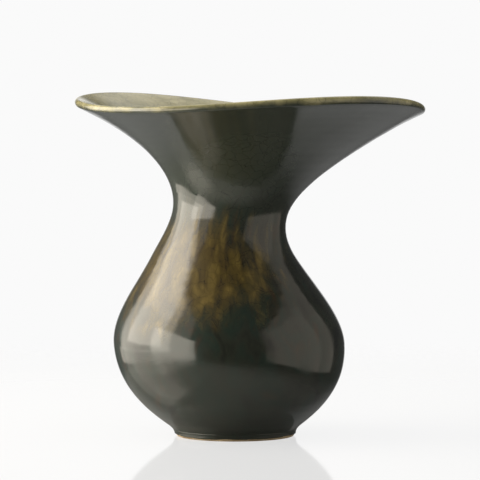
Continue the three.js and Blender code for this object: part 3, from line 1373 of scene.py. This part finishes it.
@dataclass(frozen=True)
class GlazeCoats:
    """The glaze: one coat over the whole outside and the lip, one down the inside to the floor."""

    form: VaseForm
    wheel: Wheel
    body: ThrownBody
    segments: int = 192
    crease: float = math.radians(70)
    # Steps up the foot lie close together at the rounded end and further apart above it
    foot_steps: int = 16
    foot_step_growth: float = 1.7
    # The coat ends above the foot's edge in a rounded roll, and fills the corner over the foot
    end_round: float = 0.7
    roll_thickness: float = 0.3
    roll_width: float = 1.2
    corner_pool: float = 0.5
    corner_width: float = 1.8
    # It runs thin over the lip
    lip_loss: float = 0.4
    lip_width: float = 4.0
    # The lower edge's waves: rise in millimetres, waves round the foot, and where each starts
    foot_waves: tuple[tuple[float, int, float], ...] = (
        (0.2, 2, 0.8),
        (0.15, 5, 2.1),
        (0.1, 11, 0.3),
        (0.06, 17, 4.0),
    )

    @cached_property
    def outside(self) -> list[Vector]:
        """Glazed surface of the clay from the foot up and over the lip to its inner end."""
        form = self.form
        body = self.body
        lowest = form.bare_foot_height
        foot = []
        for step in range(self.foot_steps):
            share = (step / self.foot_steps) ** self.foot_step_growth
            height = lowest + (form.foot_height - lowest) * share
            radius = form.foot_edge_radius + (height - form.foot_chamfer) * form.foot_slope
            foot.append(Vector((radius, height)))
        top = Vector((form.foot_top_radius, form.foot_height))
        walls = [*body.corner[0][:-1], *body.bowl[0], *body.shoulder[0], *body.flare[0]]
        return [*foot, top, *walls, *body.lip, body.flare[1][-1]]

    @cached_property
    def inside(self) -> list[Vector]:
        """Glazed surface from the lip's inner end down to the middle of the floor."""
        body = self.body
        walls = [*reversed(body.flare[1]), *reversed(body.shoulder[1]), *reversed(body.bowl[1])]
        return [*walls, *body.floor]

    @cached_property
    def clay(self) -> list[Station]:
        """The whole glazed surface, with distances along it."""
        stations, along, before = [], 0.0, None
        for point in [*self.outside, *self.inside[1:]]:
            along += (point - before).length if before else 0.0
            stations.append(Station(point.x, point.y, along))
            before = point
        return stations

    @cached_property
    def lip_along(self) -> float:
        """Distance along the glazed surface to the crest of the lip."""
        return max(self.clay, key=lambda station: station.height).along

    @cached_property
    def corner_along(self) -> float:
        """Distance along the glazed surface to the corner over the foot."""
        return self.clay[self.foot_steps].along

    def thickness(self, along: float) -> float:
        """Thickness of the glaze at a distance along the surface, in millimetres."""
        full = self.form.glaze_thickness
        for change, middle, width in (
            (self.roll_thickness, self.end_round, self.roll_width),
            (self.corner_pool, self.corner_along, self.corner_width),
            (-self.lip_loss, self.lip_along, self.lip_width),
        ):
            full += change * math.exp(-(((along - middle) / width) ** 2))
        end = 1 - min(along / self.end_round, 1.0)
        return full * math.sqrt(1 - end * end)

    @cached_property
    def face(self) -> list[Station]:
        """The glaze's own surface, straight above the clay's stations."""
        stations = []
        for index, here in enumerate(self.clay):
            before = self.clay[max(index - 1, 0)]
            after = self.clay[min(index + 1, len(self.clay) - 1)]
            run = Vector((after.radius - before.radius, after.height - before.height)).normalized()
            depth = self.thickness(here.along)
            radius = 0.0 if here.radius == 0 else here.radius + run.y * depth
            stations.append(Station(radius, here.height - run.x * depth, here.along))
        return stations

    def foot_line(self, direction: float) -> float:
        """Rise of the glaze's lower edge in one direction, in millimetres, where it stopped running."""
        return sum(rise * math.cos(waves * direction + start) for rise, waves, start in self.foot_waves)

    def settled(self, radius: float, height: float, direction: float) -> tuple[float, float]:
        """Moves the coat's lower edge up or down the foot.

        Args:
            radius: distance from the axis, in millimetres.
            height: height in the outline, in millimetres.
            direction: direction round the axis, in radians.

        Returns:
            The moved radius and height.
        """
        form = self.form
        if height >= form.foot_height:
            return radius, height
        share = (form.foot_height - height) / (form.foot_height - form.bare_foot_height)
        rise = self.foot_line(direction) * share
        return radius + rise * form.foot_slope, height + rise

    def build_outer(self) -> bpy.types.Object:
        """Turns the outer coat, from the foot over the lip.

        Returns:
            The coat's object.
        """
        last = len(self.outside)
        outline = [*self.face[1:last], *reversed(self.clay[:last])]
        coat = self.wheel.turned(Part.OUTER_GLAZE.value + "_coat", outline, self.segments, self.settled)
        smoothed(coat, self.crease)
        return coat

    def build_liner(self) -> bpy.types.Object:
        """Turns the liner coat, from the lip to the middle of the floor.

        Returns:
            The coat's object.
        """
        first = len(self.outside) - 1
        outline = [*reversed(self.clay[first:]), *self.face[first:]]
        coat = self.wheel.turned(Part.LINER_GLAZE.value + "_coat", outline, self.segments)
        smoothed(coat, self.crease)
        return coat

    def dress(self, outer: bpy.types.Object, liner: bpy.types.Object) -> None:
        """Gives both coats their glaze.

        Args:
            outer: outer coat.
            liner: liner coat.
        """
        dark = OliveBlackGlaze(self.lip_along).material()
        ochre = OchreLinerGlaze(self.lip_along, floor_along_mm=self.clay[-1].along).material()
        fitted(outer, Part.OUTER_GLAZE, dark)
        fitted(liner, Part.LINER_GLAZE, ochre)


@dataclass(frozen=True)
class SoftLight:
    """One rectangular soft light in metres, facing straight across the table."""

    name: str
    centre: tuple[float, float, float]
    width: float
    height: float
    radiance: float
    colour: str

    def build(self) -> None:
        """Hangs the light, unseen by the camera but seen in the glaze at its radiance."""
        lamp = bpy.data.lights.new(self.name, "AREA")
        lamp.shape = "RECTANGLE"
        lamp.size = self.width
        lamp.size_y = self.height
        lamp.energy = self.radiance * math.pi * self.width * self.height
        lamp.color = linear(self.colour)[:3]
        holder = bpy.data.objects.new(self.name, lamp)
        bpy.context.scene.collection.objects.link(holder)
        holder.location = self.centre
        facing = Vector((-self.centre[0], 0, 0))
        holder.rotation_euler = facing.to_track_quat("-Z", "Y").to_euler()
        holder.visible_camera = False


@dataclass(frozen=True)
class Studio:
    """White table and background, a tall window at the left and a dim card at the right."""

    table_radius: float = 0.9
    table_sides: int = 96
    camera_place: tuple[float, float, float] = (-0.0068, -2.2, 0.24)
    camera_aim: tuple[float, float, float] = (-0.0068, 0.0, 0.1367)
    sensor_width_mm: float = 36.0
    focal_length_mm: float = 236.9
    clip_start: float = 0.05
    clip_end: float = 50.0
    white: float = 0.956
    window_tint: str = "#fff6e6"
    card_tint: str = "#fff4e4"
    # What the glaze mirrors of the room, from its left side to its right along X
    room_left: float = 0.3
    room_right: float = 0.06
    room_from: float = -0.9
    room_to: float = -0.1
    # The even light that the room and its ceiling give
    room_light: float = 0.22
    ceiling_light: float = 0.8
    # The table's far end is mirrored low down behind the vase, by Y less Z
    table_behind: float = 0.42
    table_edge: float = 1.1
    table_full: float = 1.4
    # The white background is mirrored where it stands: behind the vase, by Y
    backdrop_edge: float = 0.955
    backdrop_full: float = 0.995
    # It curves up over the vase, by Z and a share of Y
    cove_white: float = 0.9
    cove_lean: float = 0.8
    cove_edge: float = 1.02
    cove_full: float = 1.2

    def build_camera(self) -> None:
        """Puts the camera at rim height, looking slightly down at the vase's front."""
        data = bpy.data.cameras.new("camera")
        data.sensor_width = self.sensor_width_mm
        data.lens = self.focal_length_mm
        data.dof.use_dof = False
        data.clip_start = self.clip_start
        data.clip_end = self.clip_end
        camera = bpy.data.objects.new("camera", data)
        bpy.context.scene.collection.objects.link(camera)
        camera.location = self.camera_place
        facing = Vector(self.camera_aim) - Vector(self.camera_place)
        camera.rotation_euler = facing.to_track_quat("-Z", "Y").to_euler()
        bpy.context.scene.camera = camera

    def build_table(self) -> None:
        """Lays the round table that the vase stands on."""
        bpy.ops.object.select_all(action="DESELECT")
        bpy.ops.mesh.primitive_circle_add(
            vertices=self.table_sides, radius=self.table_radius, fill_type="NGON"
        )
        table = bpy.context.object
        table.name = "table"
        table.data.materials.append(TableTop().material())

    def build_lights(self) -> None:
        """Hangs the window in six parts, brightest in its middle, and the dim card in three."""
        window, card = self.window_tint, self.card_tint
        # Each has its name, centre, width, height, radiance and tint
        lights = (
            SoftLight("window_middle", (-0.7, 0.02, 0.49), 0.6, 0.88, 2.4, window),
            SoftLight("window_top", (-0.69, 0.05, 0.82), 0.7, 0.6, 0.6, window),
            SoftLight("window_frame", (-0.71, 0.08, 0.47), 1.04, 1.06, 1.8, window),
            SoftLight("window_low", (-0.715, -0.6, 0.05), 0.94, 0.68, 2.35, window),
            SoftLight("window_sill", (-0.705, 0.29, -0.12), 0.84, 0.14, 1.4, window),
            SoftLight("window_spill", (-0.72, -0.2, 0.44), 1.4, 1.3, 0.6, window),
            SoftLight("card_middle", (0.82, -0.36, 0.5), 1.0, 0.5, 0.2, card),
            SoftLight("card_edge", (0.83, -0.3, 0.35), 1.72, 1.2, 0.36, card),
            SoftLight("card_low", (0.82, -0.36, 0.0), 1.0, 0.5, 0.2, card),
        )
        for light in lights:
            light.build()

    def build_world(self) -> None:
        """Surrounds the scene with white behind the vase and a dimmer room before it."""
        world = bpy.data.worlds.new("studio")
        bpy.context.scene.world = world
        world.use_nodes = True
        tree = world.node_tree
        tree.nodes.clear()
        rays = add_node(tree, "ShaderNodeLightPath").outputs
        direction = add_node(tree, "ShaderNodeTexCoord").outputs["Generated"]
        axes = add_node(tree, "ShaderNodeSeparateXYZ", {"Vector": direction}).outputs
        below, overhead = (
            add_node(
                tree,
                "ShaderNodeMath",
                {0: axes[first], 1: factor, 2: axes[second]},
                operation="MULTIPLY_ADD",
            ).outputs["Value"]
            for first, factor, second in (("Z", -1.0, "Y"), ("Y", self.cove_lean, "Z"))
        )
        # Each stretch of the room takes over from the one before it
        mirrored = self.room_left
        for place, edge, full, brightness in (
            (axes["X"], self.room_from, self.room_to, self.room_right),
            (below, self.table_edge, self.table_full, self.table_behind),
            (axes["Y"], self.backdrop_edge, self.backdrop_full, self.white),
            (overhead, self.cove_edge, self.cove_full, self.cove_white),
        ):
            mirrored = add_node(
                tree,
                "ShaderNodeMapRange",
                {
                    "Value": place,
                    "From Min": edge,
                    "From Max": full,
                    "To Min": mirrored,
                    "To Max": brightness,
                },
                interpolation_type="SMOOTHSTEP",
            ).outputs["Result"]
        lit = add_node(
            tree,
            "ShaderNodeMapRange",
            {"Value": axes["Z"], "To Min": self.room_light, "To Max": self.ceiling_light},
        ).outputs["Result"]
        seen = add_node(
            tree,
            "ShaderNodeMath",
            {0: rays["Is Camera Ray"], 1: rays["Is Transmission Ray"]},
            operation="MAXIMUM",
        ).outputs["Value"]
        strength = lit
        for share, brightness in ((rays["Is Glossy Ray"], mirrored), (seen, self.white)):
            strength = add_node(
                tree,
                "ShaderNodeMix",
                {MIX_FACTOR: share, VALUE_LOW: strength, VALUE_HIGH: brightness},
                data_type="FLOAT",
            ).outputs[VALUE_RESULT]
        background = add_node(
            tree, "ShaderNodeBackground", {"Color": NEUTRAL, "Strength": strength}
        ).outputs["Background"]
        add_node(tree, "ShaderNodeOutputWorld", {"Surface": background})

    def build(self) -> None:
        """Sets up the camera, table, lights and background."""
        self.build_camera()
        self.build_table()
        self.build_lights()
        self.build_world()
        bpy.context.scene.view_settings.view_transform = "Standard"


def main() -> None:
    """Loads the frame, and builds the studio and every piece."""
    logging.basicConfig(level=logging.INFO, format="%(name)s: %(message)s")
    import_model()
    Studio().build()
    form = VaseForm()
    wheel = Wheel(form)
    clay = BiscuitClay().material()
    slip = LutingSlip().material()

    foot = Foot(form, wheel)
    ring, joint = foot.build_ring(), foot.build_slip()
    foot.dress(ring, joint, clay, slip)

    body = ThrownBody(form, wheel)
    body.dress(body.build(), clay, slip)

    coats = GlazeCoats(form, wheel, body)
    coats.dress(coats.build_outer(), coats.build_liner())


if __name__ == "__main__":
    main()
